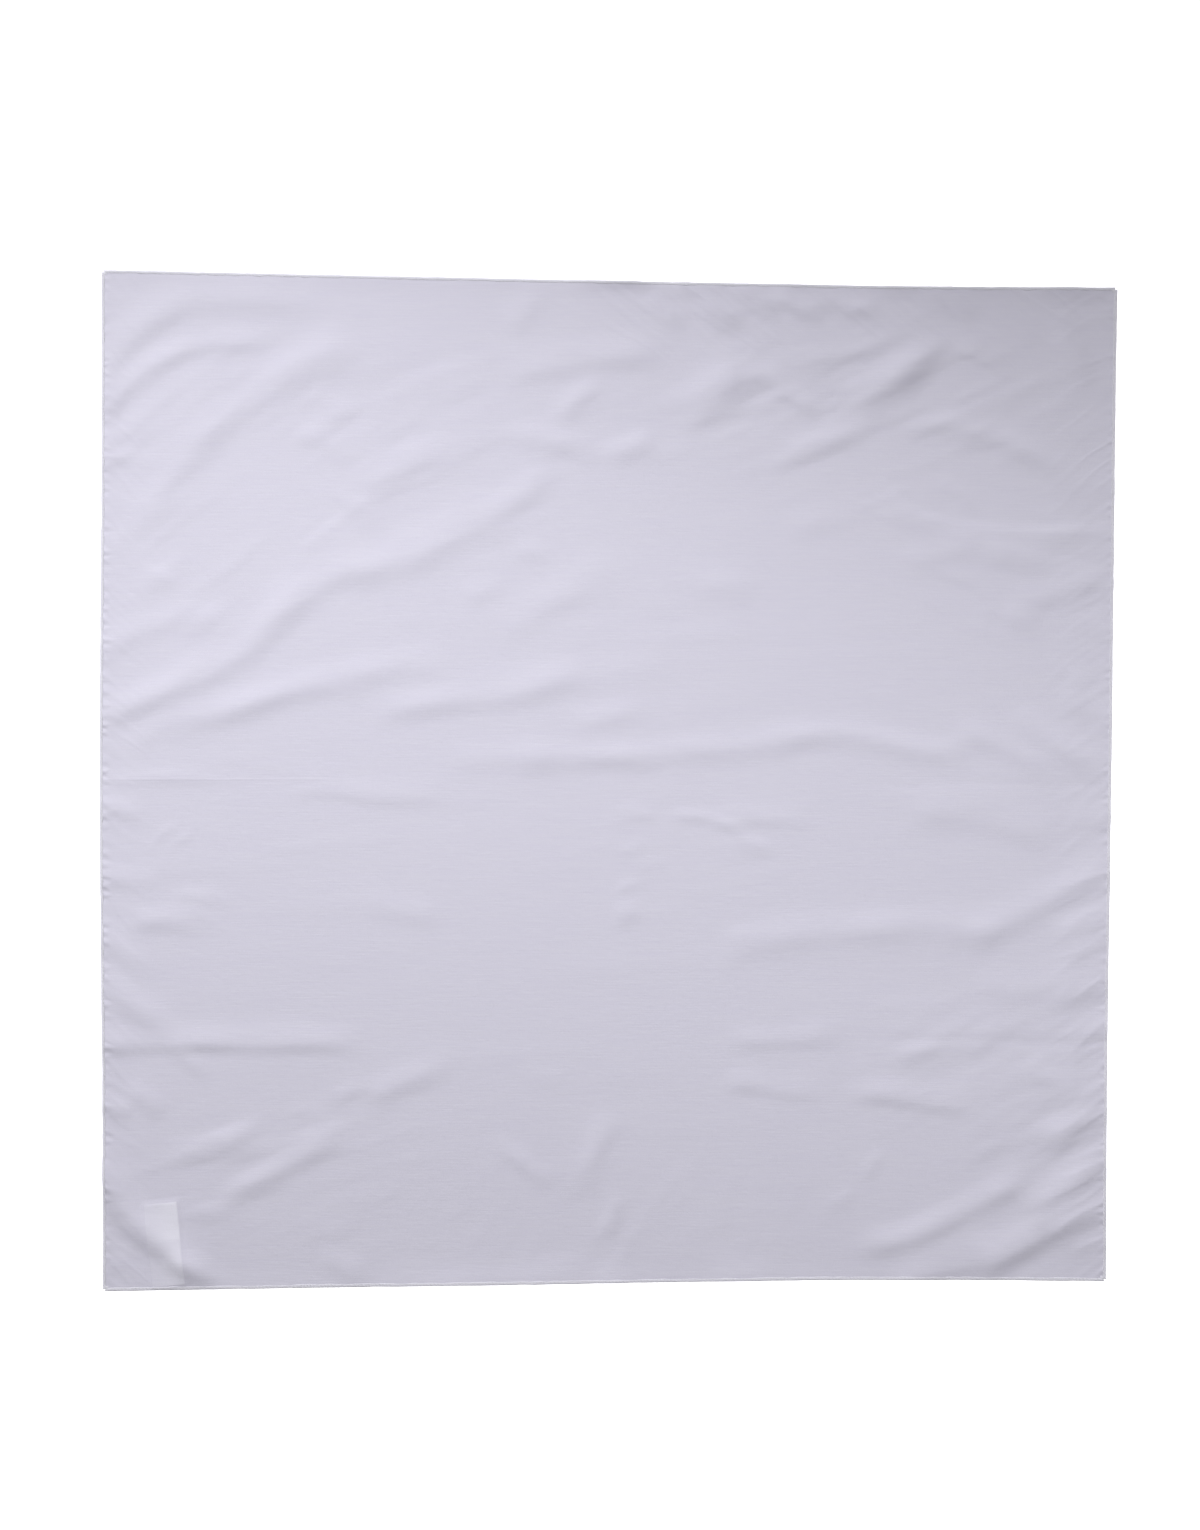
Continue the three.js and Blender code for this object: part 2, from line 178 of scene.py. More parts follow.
lowerRightFolds = [
    (92, -151, 200, -137, 340, -131, 11, 9, 1.9),
    (286, -138, 320, -136, 358, -122, 11, 8, 0.8),
    (312, -153, 380, -113, 474, -68, 10, 9, 2.3),
    (392, -146, 425, -131, 470, -110, 8, 7, 1.9),
    (400, -161, 430, -148, 470, -124, 8, 7, 1.6),
    (322, -181, 385, -182, 474, -140, 12, 9, 1.3),
    (384, -202, 422, -191, 470, -166, 9, 7, 2.2),
    (404, -240, 430, -227, 470, -216, 8, 6, 1.2),
    (92, -238, 150, -232, 226, -231, 9, 6, 1.2),
    (98, -267, 140, -276, 214, -280, 10, 6, 1.3),
    (206, -282, 270, -287, 340, -295, 10, 5, 1.5),
    (386, -336, 418, -311, 470, -284, 9, 8, 2.0),
    (368, -392, 410, -363, 474, -318, 9, 8, 2.9),
    (214, -419, 302, -399, 392, -340, 9, 7, 2.2),
    (238, -448, 296, -439, 366, -423, 18, 8, 2.4),
    (322, -441, 378, -413, 456, -364, 14, 8, 3.2),
    (388, -412, 420, -398, 470, -376, 8, 8, 1.6),
    (404, -424, 430, -417, 470, -406, 7, 7, 1.2),
]

lowerLeftFolds = [
    (-468, -132, -440, -152, -406, -192, 8, 6, 1.8),
    (-454, -156, -424, -203, -376, -230, 9, 8, 2.5),
    (-224, -294, -186, -272, -132, -254, 9, 8, 1.9),
    (-400, -338, -350, -334, -292, -314, 9, 7, 1.2),
    (-358, -374, -296, -352, -224, -308, 9, 8, 1.6),
    (-392, -380, -354, -388, -318, -374, 8, 7, 1.0),
    (-436, -268, -414, -287, -396, -308, 8, 6, 1.3),
    (-466, -286, -444, -294, -422, -304, 6, 5, 1.5),
    (-482, -296, -425, -394, -350, -452, 10, 8, 4.2),
    (-398, -424, -370, -442, -330, -454, 7, 7, 1.5),
    (-446, -420, -430, -440, -410, -462, 8, 8, 0.8),
    (-262, -422, -240, -434, -206, -451, 9, 8, 1.4),
    (-220, -462, -80, -453, 34, -458, 15, 8, 1.7),
    (2, -288, -13, -337, -38, -388, 8, 8, 1.2),
    (-112, -318, -78, -344, -46, -372, 7, 5, 0.9),
    (80, -448, 118, -446, 160, -450, 12, 8, 1.1),
]

# Creases of the old folding: ridges on the left half, troughs on the right half
oldCreases = [
    (-470, -1, -390, -1, -300, -2, 5, 2.5, 0.7),
    (-480, -238, -350, -237.5, -212, -236.5, 10, 5, 1.8),
    (244, 262, 276, 238, 326, 226, 4, 12, 0.8),
    (296, 225, 385, 221, 480, 222, 4, 20, 1.2),
    (210, -5, 345, -5, 480, -6, 3, 3, -0.3),
    (216, -232, 345, -234, 480, -237, 3, 4, -0.4),
]

# Slow swells where the cloth stands a little off the table
swells = [
    (330, 262, 405, 258, 480, 256, 20, 20, 0.6),
    (230, -6, 345, -6, 480, -8, 22, 22, 0.5),
    (230, -232, 345, -234, 480, -236, 22, 20, 0.6),
    (-300, 400, -200, 340, -150, 250, 40, 40, 1.0),
    (-440, 330, -380, 325, -320, 300, 36, 36, 1.0),
    (60, 410, 180, 395, 300, 360, 36, 36, 1.0),
    (-120, 60, 20, 115, 140, 160, 40, 40, 0.6),
    (300, -330, 380, -300, 460, -250, 36, 36, 0.9),
]

# Small wrinkles between them
smallWrinkles = [
    (-300, 308, -262, 303, -228, 292, 8, 6, 0.9),
    (-270, 345, -248, 333, -226, 318, 8, 6, 0.8),
    (-470, 206, -440, 220, -412, 240, 8, 8, 0.5),
    (-436, 196, -404, 182, -372, 166, 5, 12, 0.9),
    (-462, 288, -438, 289, -412, 289, 5, 5, 1.1),
    (70, 160, 100, 173, 136, 158, 9, 8, 0.8),
    (-140, 158, -112, 168, -84, 176, 8, 7, 0.8),
    (-96, 202, -72, 206, -48, 200, 7, 6, 0.7),
    (-10, -33, 20, -29, 52, -35, 5, 5, 0.9),
    (4, -64, 18, -67, 34, -64, 5, 4, 0.6),
    (2, -97, 18, -95, 34, -86, 5, 4, 0.6),
    (0, -126, 16, -121, 34, -112, 7, 7, 0.9),
    (-12, 290, 18, 298, 50, 307, 8, 8, 1.4),
    (-414, -64, -400, -49, -380, -41, 3, 3, 0.6),
    (-394, -62, -382, -55, -366, -51, 3, 3, 0.6),
    (-394, -100, -366, -108, -338, -122, 4, 4, 0.6),
    (-372, -96, -350, -106, -322, -116, 4, 4, 0.5),
    (-386, -116, -362, -123, -338, -136, 4, 4, 0.5),
    (282, 272, 308, 258, 338, 240, 7, 6, 0.9),
    (322, 160, 350, 152, 384, 148, 8, 7, 0.8),
    (150, 228, 196, 228, 244, 240, 9, 8, 0.8),
    (350, 145, 372, 141, 400, 139, 9, 8, 0.9),
    (396, -294, 424, -284, 470, -266, 7, 6, 0.9),
    (366, -257, 396, -268, 424, -279, 7, 6, 1.1),
    (240, -326, 234, -346, 226, -362, 6, 5, 0.7),
    (228, -362, 212, -374, 190, -390, 7, 6, 0.7),
    (250, -254, 276, -244, 306, -236, 6, 5, 0.6),
    (316, -254, 334, -240, 354, -224, 6, 5, 0.6),
    (-366, -328, -338, -320, -304, -308, 6, 5, 0.8),
    (-400, -238, -378, -252, -352, -274, 6, 5, 0.7),
    (-292, -300, -266, -302, -242, -296, 7, 6, 0.9),
    (-256, -292, -234, -282, -212, -268, 8, 6, 0.8),
    (-280, -404, -246, -405, -206, -398, 9, 7, 0.7),
    (13, -362, 4, -388, 6, -424, 7, 7, 1.2),
    (-88, -262, -58, -266, -26, -272, 8, 7, 0.5),
]

folds = (
    topLeftFolds + diagonalFolds + topFolds + topRightFolds + middleFolds
    + lowerRightFolds + lowerLeftFolds + oldCreases + swells + smallWrinkles
)

# Faint crumples between the folds: middle, how far they reach each way, the way they run in degrees,
# their length and width, and their height
crumples = [
    (-330, 250, 190, 190, 38, 70, 15, 0.42),
    (-120, 300, 160, 130, 20, 60, 14, 0.34),
    (230, 330, 200, 110, 24, 55, 13, 0.44),
    (330, 190, 140, 110, -14, 60, 14, 0.38),
    (-330, -60, 150, 100, 4, 80, 13, 0.28),
    (60, -60, 110, 110, 6, 34, 10, 0.30),
    (350, -300, 150, 130, 28, 70, 15, 0.36),
    (-280, -350, 190, 90, 22, 70, 14, 0.38),
    (0, -380, 220, 70, 60, 50, 15, 0.32),
    (0, 0, 900, 900, 3, 120, 24, 0.22),
]


crumpling = {
    "seed": 40,
    "finerSeed": 70,
    "finer": 1.9,
    "finerShare": 0.5,
    "fade": (0.4, 1.2),
}

knotCount = 97


def blendEdge(low, high, value):
    share = np.clip((value - low) / (high - low), 0, 1)
    return share * share * (3 - 2 * share)


def turned(x, y, degrees):
    # a point in axes turned by an angle, of numbers or of shader values
    angle = math.radians(degrees)
    return x * math.cos(angle) + y * math.sin(angle), y * math.cos(angle) - x * math.sin(angle)


def softNoise(x, y, size, seed):
    # smooth hills and hollows from -1 to 1, about a size across
    knots = np.random.default_rng(seed).uniform(-1, 1, (knotCount, knotCount))
    px, py = x / size + knotCount // 2, y / size + knotCount // 2
    column, row = np.floor(px).astype(int), np.floor(py).astype(int)
    u, v = blendEdge(0, 1, px - column), blendEdge(0, 1, py - row)
    at = lambda dx, dy: knots[(row + dy) % knotCount, (column + dx) % knotCount]
    return (1 - v) * ((1 - u) * at(0, 0) + u * at(1, 0)) + v * ((1 - u) * at(0, 1) + u * at(1, 1))


def crumpled(x, y):
    total = np.zeros_like(x)
    for number, (midX, midY, reachX, reachY, turn, long, wide, high) in enumerate(crumples):
        along, across = turned(x, y, turn)
        along, across = along / long, across / wide
        finer = crumpling["finer"]
        hills = softNoise(along, across, 1, crumpling["seed"] + number)
        smaller = softNoise(along * finer, across * finer, 1, crumpling["finerSeed"] + number)
        away = np.hypot((x - midX) / reachX, (y - midY) / reachY)
        fade = 1 - blendEdge(*crumpling["fade"], away)
        total += high * (hills + crumpling["finerShare"] * smaller) * fade
    return total


def waves(x, y, shape):
    # one wave up the y axis that wavers with x, and a slanting one
    high, length, waver, waverLength, slantHigh, slantX, slantY = shape
    first = high * np.sin(y / length + waver * np.sin(x / waverLength))
    return first + slantHigh * np.sin(x / slantX + y / slantY)


def foldPath(start, middle, end):
    # points along a smooth bend through three points
    start, middle, end = np.array(start), np.array(middle), np.array(end)
    pull = 2 * middle - (start + end) / 2
    share = np.linspace(0, 1, foldForm["steps"] + 1)[:, None]
    return (1 - share) ** 2 * start + 2 * share * (1 - share) * pull + share**2 * end


def alongPath(path, px, py):
    # for each point: its distance from the path, its share of the way, and on which side it lies
    off, along, side = np.full(len(px), np.inf), np.zeros(len(px)), np.zeros(len(px))
    steps = len(path) - 1
    for step in range(steps):
        run = path[step + 1] - path[step]
        awayX, awayY = px - path[step][0], py - path[step][1]
        part = np.clip((awayX * run[0] + awayY * run[1]) / (run @ run), 0, 1)
        distance = np.hypot(awayX - part * run[0], awayY - part * run[1])
        closer = distance < off
        off = np.where(closer, distance, off)
        along = np.where(closer, (step + part) / steps, along)
        side = np.where(closer, run[0] * awayY - run[1] * awayX, side)
    return off, along, side


def foldHeights(x, y):
    # folds wander a little and aren't even, as a hand smooths them
    wanderX = x + waves(x, y, foldForm["wanderX"])
    wanderY = y - foldForm["up"] + waves(y, x, foldForm["wanderY"])
    uneven = 1 + waves(y, x, foldForm["uneven"])
    total = np.zeros_like(x)
    for fromX, fromY, midX, midY, toX, toY, left, right, high in folds:
        path = foldPath((fromX, fromY), (midX, midY), (toX, toY))
        length = np.hypot(*np.diff(path, axis=0).T).sum()
        reach = foldForm["reach"] * max(left, right)
        low, top = path.min(0) - reach, path.max(0) + reach
        inX = (wanderX > low[0]) & (wanderX < top[0])
        inY = (wanderY > low[1]) & (wanderY < top[1])
        near = np.nonzero(inX & inY)[0]
        if not len(near):
            continue
        off, along, side = alongPath(path, wanderX[near], wanderY[near])
        fadeShare = min(foldForm["longestFade"], foldForm["endFade"] / length)
        fade = blendEdge(0, fadeShare, np.minimum(along, 1 - along))
        width = np.where(side > 0, left, right) * (1 + foldForm["endSpread"] * (1 - fade))
        total[near] += high * uneven[near] * fade * np.exp(-0.5 * (off / width) ** 2)
    return total


def settled(height):
    # the cloth can't go through the table, so low places flatten out
    limit = cloth["settling"]
    return np.where(height <= 0, 0, np.where(height < 2 * limit, height**2 / (4 * limit), height - limit))


label = {
    "middle": (-397.3, -415.5),
    "turn": 6.0,
    "width": 29.0,
    "length": 74.0,
    "rise": 0.75,  # how far the label holds the cloth up
    "shoulder": 4.0,
    "rest": 0.28,
    "rows": 40,
    "columns": 16,
    "ripple": 0.08,  # the tape's own waves, along it and slanting
    "rippleLength": 5.5,
    "slantRipple": 0.06,
    "slantLengths": (4.0, 11.0),
}


def inLabel(x, y):
    # a point across and along the label from its middle
    return turned(x - label["middle"][0], y - label["middle"][1], label["turn"])


def labelLift(x, y):
    across, along = inLabel(x, y)
    outX = np.maximum(np.abs(across) - label["width"] / 2, 0)
    outY = np.maximum(np.abs(along) - label["length"] / 2, 0)
    return label["rise"] * (1 - blendEdge(0, label["shoulder"], np.hypot(outX, outY)))


def livelier(x, y):
    # the cloth is more rumpled towards its top right corner
    return 1 + cloth["rumple"] * blendEdge(*cloth["rumpleUp"], y) * blendEdge(*cloth["rumpleAcross"], x)


def clothHeight(x, y):
    rumpled = livelier(x, y) * (foldHeights(x, y) + crumpled(x, y))
    return settled(rumpled + cloth["slack"]) + labelLift(x, y)


def bow(shape, share):
    # how far a side stands out, from the sine waves of its shape
    return sum(high * np.sin((wave + 1) * np.pi * share) for wave, high in enumerate(shape))


def planPoint(across, up, inset):
    # a point of the sheet, from 0 to 1 each way, with the outline drawn in by an inset
    margin = inset / outline["side"]
    x, y = margin + (1 - 2 * margin) * across, margin + (1 - 2 * margin) * up
    corner = lambda name, axis: outline[name][axis]
    px, py = [
        (1 - y) * ((1 - x) * corner("bottomLeft", axis) + x * corner("bottomRight", axis))
        + y * ((1 - x) * corner("topLeft", axis) + x * corner("topRight", axis))
        for axis in (0, 1)
    ]
    px = px + (1 - x) * bow(outline["leftBow"], y) + x * bow(outline["rightBow"], y)
    py = py + (1 - y) * bow(outline["bottomBow"], x) + y * bow(outline["topBow"], x)
    return px, py


def makePiece(name, points, faces, material):
    mesh = bpy.data.meshes.new(name)
    corners = [tuple(point) for point in np.asarray(points) * mm]
    mesh.from_pydata(corners, [], [tuple(face) for face in faces])
    mesh.polygons.foreach_set("use_smooth", [True] * len(mesh.polygons))
    mesh.validate()
    mesh.update()
    piece = bpy.data.objects.new(name, mesh)
    bpy.context.scene.collection.objects.link(piece)
    mesh.materials.append(material)
    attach(piece, "root")
    return piece


def gridFaces(rows, columns, closedRows=False, closedColumns=False):
    # quads over a grid of points, row after row
    row, column = np.meshgrid(
        np.arange(rows if closedRows else rows - 1),
        np.arange(columns if closedColumns else columns - 1),
        indexing="ij",
    )
    row, column = row.ravel(), column.ravel()
    nextRow, nextColumn = (row + 1) % rows, (column + 1) % columns
    low, high = row * columns, nextRow * columns
    return np.stack([low + column, low + nextColumn, high + nextColumn, high + column], axis=1).tolist()


# Shader maths written as plain expressions: a value wraps one socket of a material's node tree
class Value:
    def __init__(self, paint, socket):
        self.paint = paint
        self.socket = socket

    def maths(self, operation, *inputs):
        return self.paint.node("ShaderNodeMath", {"operation": operation}, dict(enumerate(inputs)))

    def __add__(self, other):
        return self.maths("ADD", self, other)

    def __radd__(self, other):
        return self.maths("ADD", other, self)

    def __sub__(self, other):
        return self.maths("SUBTRACT", self, other)

    def __rsub__(self, other):
        return self.maths("SUBTRACT", other, self)

    def __mul__(self, other):
        return self.maths("MULTIPLY", self, other)

    def __truediv__(self, other):
        return self.maths("DIVIDE", self, other)

    def sine(self):
        return self.maths("SINE", self)

    def size(self):
        return self.maths("ABSOLUTE", self)

    def ramp(self, low, high, start=0.0, end=1.0):
        # a smooth rise from a start value to an end value between two limits
        inputs = {0: self, 1: low, 2: high, 3: start, 4: end}
        return self.paint.node("ShaderNodeMapRange", {"interpolation_type": "SMOOTHSTEP"}, inputs)


class Paint:
    def __init__(self, name):
        self.material = bpy.data.materials.new(name)
        self.material.use_nodes = True
        self.tree = self.material.node_tree
        self.shader = self.tree.nodes["Principled BSDF"]
        # where a point of the piece lies, in millimetres
        place = self.node("ShaderNodeTexCoord", output="Object")
        self.x, self.y = [
            self.node("ShaderNodeSeparateXYZ", inputs={0: place}, output=axis) * (1 / mm) for axis in (0, 1)
        ]

    def node(self, kind, settings=None, inputs=None, output=0):
        made = self.tree.nodes.new(kind)
        for name, value in (settings or {}).items():
            setattr(made, name, value)
        for key, value in (inputs or {}).items():
            if isinstance(value, Value):
                self.tree.links.new(value.socket, made.inputs[key])
            else:
                made.inputs[key].default_value = value
        return Value(self, made.outputs[output])

    def point(self, x, y, z=0.0):
        return self.node("ShaderNodeCombineXYZ", inputs={0: x, 1: y, 2: z})

    def noise(self, x, y, detail=2.0, z=0.0):
        inputs = {"Vector": self.point(x, y, z), "Scale": 1.0, "Detail": detail}
        return self.node("ShaderNodeTexNoise", inputs=inputs)

    def mix(self, factor, first, second):
        # the colour inputs of a Mix node come after its number and vector ones
        return self.node("ShaderNodeMix", {"data_type": "RGBA"}, {0: factor, 6: first, 7: second}, output=2)

    def feed(self, colour, roughness):
        for name, value in (("Base Color", colour), ("Roughness", roughness)):
            if isinstance(value, Value):
                self.tree.links.new(value.socket, self.shader.inputs[name])
            else:
                self.shader.inputs[name].default_value = value

    def relief(self, height):
        # a height in millimetres, as a bump
        bump = self.node("ShaderNodeBump", inputs={"Height": height, "Strength": 1.0, "Distance": mm})
        self.tree.links.new(bump.socket, self.shader.inputs["Normal"])

    def constant(self, **sockets):
        for name, value in sockets.items():
            self.shader.inputs[name.replace("_", " ")].default_value = value


cotton = {
    "colour": (0.700, 0.680, 0.801, 1.0),
    "worn": (0.722, 0.704, 0.812, 1.0),  # where threads are thicker
    "overLabel": (0.835, 0.822, 0.925, 1.0),
    "roughness": 0.82,
    "roughnessSpread": 0.08,
    "threadPitch": 0.62,
    "weaveHigh": 0.035,
    "overEdge": 0.25,  # how softly warp and weft change places
    "slubLengths": (26.0, 1.3),
    "slubHigh": 0.10,
    "streakLengths": (70.0, 3.4),
    "cloudLength": 120.0,
    "toneShares": (0.5, 0.35, 0.15),  # of slubs, streaks and clouds
    "toneSpan": (0.30, 0.70),
    "fineLengths": (9.0, 5.0),
    "fineHigh": 0.16,
    "patchEdge": (-0.6, 0.8),  # the label's rim under the cloth
    "patchHigh": 0.12,
    "paintedLitTop": (2.0, 6.0, 0.62, 1.0),  # painted light: where the label shows through, the patch is made lighter towards its top, where a fold's lit side falls on it, and towards its right side
    "paintedLitRight": (-16.0, 12.0, 0.35, 1.0),
}

# Two old creases across the cloth: a sharp edge on the left half and a low step on the right half
creaseEdges = {
    "sharpAt": 1.1,
    "sharpWide": 1.7,
    "sharpEnd": (-330.0, -180.0),
    "sharpHigh": 0.09,
    "stepAt": (220.8, 226.0),
    "stepFoot": (150.0, 212.0),
    "stepStart": (270.0, 340.0),
    "stepHigh": 0.26,
}

# Short dark dashes beside the left and right hems, where the stitches draw the cloth in
puckers = {
    "left": -452.6,
    "right": 449.8,
    "rightLean": 0.0117,
    "high": 0.40,
    "pitch": 10.4,
    "slant": 0.22,
    "seeds": (3.0, 11.0),
    "drift": 16.0,
    "driftLength": 46.0,
    "livelyLength": 21.0,
    "lively": (0.34, 0.68, 0.25, 1.0),
    "reachLength": 13.0,
    "reach": (0.3, 0.7, 5.0, 13.0),
    "fade": (0.1, 1.0),
}

# Soft little creases that run in from the rim at a slant
rimCreases = {
    "high": 0.36,
    "top": (350.0, 440.0),
    "topStart": (-80.0, 60.0),
    "left": (-448.0, -395.0),
    "leftShare": 0.6,
    "right": (370.0, 440.0),
    "rightShare": 0.8,
    "leftTurn": -40.0,
    "rightTurn": 32.0,
    "seeds": (21.0, 27.0),
    "lengths": (62.0, 15.0),
    "span": (0.60, 1.0),
}


def weaveOf(paint, pitch):
    # plain weave: warp and weft pass over each other in turn
    turn = math.pi / pitch
    over = (paint.x * turn).sine() * (paint.y * turn).sine()
    warp = (paint.x * (2 * turn)).sine().size()
    weft = (paint.y * (2 * turn)).sine().size()
    mask = over.ramp(-cotton["overEdge"], cotton["overEdge"])
    return warp * mask + weft * (1.0 - mask)


def puckersBeside(paint, inward, seed):
    drift = paint.noise(paint.y / puckers["driftLength"], seed, detail=1.0) * puckers["drift"]
    turn = 2 * math.pi / puckers["pitch"]
    ripple = ((paint.y + inward * puckers["slant"]) * turn + drift).sine()
    lively = paint.noise(paint.y / puckers["livelyLength"], seed + 5.0, detail=1.0).ramp(*puckers["lively"])
    length = paint.noise(paint.y / puckers["reachLength"], seed + 9.0, detail=0.0).ramp(*puckers["reach"])
    near = 1.0 - (inward / length).ramp(*puckers["fade"])
    return ripple * lively * near


def puckersOf(paint):
    fromLeft = paint.x - puckers["left"]
    fromRight = puckers["right"] + paint.y * puckers["rightLean"] - paint.x
    leftSeed, rightSeed = puckers["seeds"]
    both = puckersBeside(paint, fromLeft, leftSeed) + puckersBeside(paint, fromRight, rightSeed)
    return both * puckers["high"]


def creasesAlong(paint, degrees, seed):
    long, wide = rimCreases["lengths"]
    along, across = turned(paint.x, paint.y, degrees)
    ridge = 1.0 - (paint.noise(along / long, across / wide, detail=0.0, z=seed) * 2.0 - 1.0).size()
    return ridge.ramp(*rimCreases["span"])


def rimCreasesOf(paint):
    fromTop = paint.y.ramp(*rimCreases["top"]) * paint.x.ramp(*rimCreases["topStart"])
    fromLeft = (1.0 - paint.x.ramp(*rimCreases["left"])) * rimCreases["leftShare"]
    fromRight = paint.x.ramp(*rimCreases["right"]) * rimCreases["rightShare"]
    leftSeed, rightSeed = rimCreases["seeds"]
    falling = creasesAlong(paint, rimCreases["leftTurn"], leftSeed) * (fromTop + fromLeft)
    rising = creasesAlong(paint, rimCreases["rightTurn"], rightSeed) * fromRight
    return (falling + rising) * rimCreases["high"]


def oldEdgesOf(paint):
    away = ((paint.y - creaseEdges["sharpAt"]) / creaseEdges["sharpWide"]).size()
    sharp = (1.0 - away.ramp(0.0, 1.0)) * (1.0 - paint.x.ramp(*creaseEdges["sharpEnd"]))
    step = (1.0 - paint.y.ramp(*creaseEdges["stepAt"])) * paint.y.ramp(*creaseEdges["stepFoot"])
    step = step * paint.x.ramp(*creaseEdges["stepStart"])
    return sharp * creaseEdges["sharpHigh"] + step * creaseEdges["stepHigh"]


def stretched(paint, lengths, detail, z=0.0):
    # noise with a length of its own each way
    return paint.noise(paint.x / lengths[0], paint.y / lengths[1], detail=detail, z=z)


def paintCotton():
    paint = Paint("stoleCotton")
    slub = stretched(paint, cotton["slubLengths"], 3.0)
    streak = stretched(paint, cotton["streakLengths"], 2.0, z=7.0)
    cloudy = stretched(paint, (cotton["cloudLength"], cotton["cloudLength"]), 2.0, z=3.0)
    fine = stretched(paint, cotton["fineLengths"], 3.0, z=5.0)
    across, along = inLabel(paint.x, paint.y)
    inWidth = 1.0 - (across.size() - label["width"] / 2).ramp(*cotton["patchEdge"])
    inLength = 1.0 - (along.size() - label["length"] / 2).ramp(*cotton["patchEdge"])
    patch = inWidth * inLength
    # the label shows through the thin cloth as a paler patch; painted light makes that patch lighter towards
    # its top, where a fold's lit side falls, and towards its right side
    paintedLitPatch = along.ramp(*cotton["paintedLitTop"]) * across.ramp(*cotton["paintedLitRight"])
    slubShare, streakShare, cloudShare = cotton["toneShares"]
    tone = (slub * slubShare + streak * streakShare + cloudy * cloudShare).ramp(*cotton["toneSpan"])
    colour = paint.mix(tone, cotton["colour"], cotton["worn"])
    colour = paint.mix(patch * paintedLitPatch, colour, cotton["overLabel"])
    paint.feed(colour, tone * cotton["roughnessSpread"] + cotton["roughness"])
    paint.relief(
        oldEdgesOf(paint)
        + weaveOf(paint, cotton["threadPitch"]) * cotton["weaveHigh"]
        + slub * cotton["slubHigh"]
        + fine * cotton["fineHigh"]
        + puckersOf(paint)
        + rimCreasesOf(paint)
        + patch * cotton["patchHigh"]
    )
    paint.constant(Sheen_Weight=0.12, Sheen_Roughness=0.5, Specular_IOR_Level=0.25)
    return paint.material


hemCloth = {
    "colour": (0.800, 0.790, 0.870, 1.0),
    "darker": (0.760, 0.7505, 0.8265, 1.0),
    "roughness": 0.8,
    "roughnessSpread": 0.1,
    "twistTurns": 1.9,  # slanting marks where the cloth is rolled over
    "twistNoise": 5.0,
    "twistNoiseLength": 6.0,
    "twistHigh": 0.05,
    "grainLength": 1.2,
    "grainHigh": 0.12,
    "grainSpan": (0.35, 0.65),
}

thread = {
    "light": (0.80, 0.79, 0.87, 1.0),
    "dark": (0.66, 0.645, 0.74, 1.0),
    "roughness": 0.62,
    "roughnessSpread": 0.06,
    "plyLean": 0.6,
    "plyTurns": 14.0,
    "plySpan": 0.8,
    "plyHigh": 0.05,
}

satin = {
    "light": (0.90, 0.895, 0.92, 1.0),
    "dark": (0.83, 0.825, 0.86, 1.0),
    "roughness": 0.38,
    "roughnessSpread": 0.14,
    "ribPitch": 0.55,
    "ribHigh": 0.03,
    "fineLengths": (7.0, 0.5),
    "fineSpan": (0.3, 0.7),
    "fineHigh": 0.05,
}


def paintHem():
    paint = Paint("hemCotton")
    length = hemCloth["twistNoiseLength"]
    stray = paint.noise(paint.x / length, paint.y / length) * hemCloth["twistNoise"]
    twist = ((paint.x + paint.y) * hemCloth["twistTurns"] + stray).sine()
    grain = stretched(paint, (hemCloth["grainLength"], hemCloth["grainLength"]), 3.0)
    colour = paint.mix(grain.ramp(*hemCloth["grainSpan"]), hemCloth["darker"], hemCloth["colour"])
    paint.feed(colour, grain * hemCloth["roughnessSpread"] + hemCloth["roughness"])
    weave = weaveOf(paint, cotton["threadPitch"]) * cotton["weaveHigh"]
    paint.relief(twist * hemCloth["twistHigh"] + grain * hemCloth["grainHigh"] + weave)
    paint.constant(Sheen_Weight=0.12, Sheen_Roughness=0.5, Specular_IOR_Level=0.25)
    return paint.material


def paintThread():
    paint = Paint("sewingThread")
    ply = ((paint.x + paint.y * thread["plyLean"]) * thread["plyTurns"]).sine()
    colour = paint.mix(ply.ramp(-thread["plySpan"], thread["plySpan"]), thread["dark"], thread["light"])
    paint.feed(colour, ply * thread["roughnessSpread"] + thread["roughness"])
    paint.relief(ply * thread["plyHigh"])
    paint.constant(Sheen_Weight=0.2, Sheen_Roughness=0.4, Specular_IOR_Level=0.35)
    return paint.material


def paintLabel():
    paint = Paint("labelSatin")
    across, along = turned(paint.x, paint.y, label["turn"])
    rib = (along * (2 * math.pi / satin["ribPitch"])).sine()
    fine = paint.noise(across / satin["fineLengths"][0], along / satin["fineLengths"][1])
    colour = paint.mix(fine.ramp(*satin["fineSpan"]), satin["dark"], satin["light"])
    paint.feed(colour, fine * satin["roughnessSpread"] + satin["roughness"])
    paint.relief(rib * satin["ribHigh"] + fine * satin["fineHigh"])
    paint.constant(Sheen_Weight=0.1, Sheen_Roughness=0.35, Specular_IOR_Level=0.5)
    return paint.material


cottonPaint = paintCotton()
hemPaint = paintHem()
threadPaint = paintThread()
labelPaint = paintLabel()
print("materials painted")


def crowded(count):
    # shares from 0 to 1 that stand closer together near both ends
    share = np.linspace(0, 1, count)
    return share - cloth["crowding"] * np.sin(2 * np.pi * share) / (2 * np.pi)


